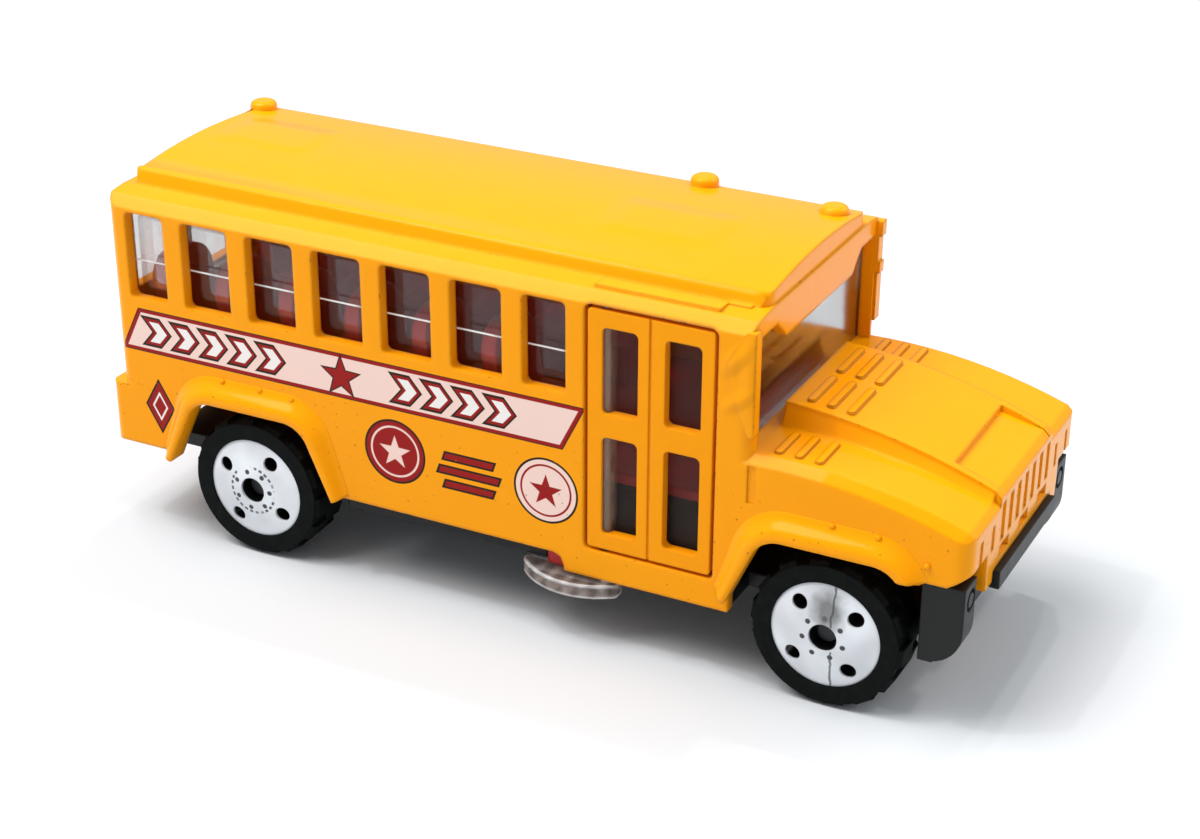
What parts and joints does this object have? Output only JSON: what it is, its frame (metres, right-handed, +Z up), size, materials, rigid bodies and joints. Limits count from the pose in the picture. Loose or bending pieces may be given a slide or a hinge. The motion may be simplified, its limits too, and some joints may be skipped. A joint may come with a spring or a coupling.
{
  "type": "die-cast toy school bus",
  "caption": "Pocket-size die-cast toy school bus with a short hood, flared arches, raised roof, row of side windows, hinged door with a clear lever, and free-rolling wheels.",
  "frame": {"origin": "on the floor, under the middle of the bus's length and width", "axes": "+X forward along the bus, +Y to the bus's left, +Z up"},
  "size_m": [0.0746, 0.0268, 0.0312],
  "materials": {
    "yellow_enamel": "gloss orange-yellow enamel on a zinc casting",
    "yellow_plastic": "gloss orange-yellow moulded plastic",
    "clear_plastic": "clear polystyrene",
    "red_plastic": "satin dark red moulded plastic",
    "black_plastic": "satin black moulded plastic",
    "axle_steel": "plain wire",
    "white_hub_plastic": "white plastic",
    "tyre_rubber": "black rubbery plastic with block tread"
  },
  "bodies": {
    "bus_body": {"body_casting": "yellow_enamel", "window_glazing": "clear_plastic", "interior_moulding": "red_plastic", "base_moulding": "black_plastic", "front_axle": "axle_steel", "rear_axle": "axle_steel"},
    "door": {"door_panel": "yellow_plastic", "door_glass_lever": "clear_plastic"},
    "front_right_wheel": {"front_right_hub": "white_hub_plastic", "front_right_tyre": "tyre_rubber"},
    "front_left_wheel": {"front_left_hub": "white_hub_plastic", "front_left_tyre": "tyre_rubber"},
    "rear_right_wheel": {"rear_right_hub": "white_hub_plastic", "rear_right_tyre": "tyre_rubber"},
    "rear_left_wheel": {"rear_left_hub": "white_hub_plastic", "rear_left_tyre": "tyre_rubber"}
  },
  "joints": [
    {"name": "front_right_wheel_spin", "type": "hinge", "parent": "bus_body", "child": "front_right_wheel", "pos_m": [0.0264, -0.01035, 0.006], "axis": [0, 1, 0], "continuous": true},
    {"name": "front_left_wheel_spin", "type": "hinge", "parent": "bus_body", "child": "front_left_wheel", "pos_m": [0.0264, 0.01035, 0.006], "axis": [0, 1, 0], "continuous": true},
    {"name": "rear_right_wheel_spin", "type": "hinge", "parent": "bus_body", "child": "rear_right_wheel", "pos_m": [-0.0233, -0.01035, 0.006], "axis": [0, 1, 0], "continuous": true},
    {"name": "rear_left_wheel_spin", "type": "hinge", "parent": "bus_body", "child": "rear_left_wheel", "pos_m": [-0.0233, 0.01035, 0.006], "axis": [0, 1, 0], "continuous": true},
    {"name": "door_swing", "type": "hinge", "parent": "bus_body", "child": "door", "pos_m": [0.00815, -0.01155, 0.008], "axis": [0, 0, -1], "range_deg": [0, 45]}
  ]
}
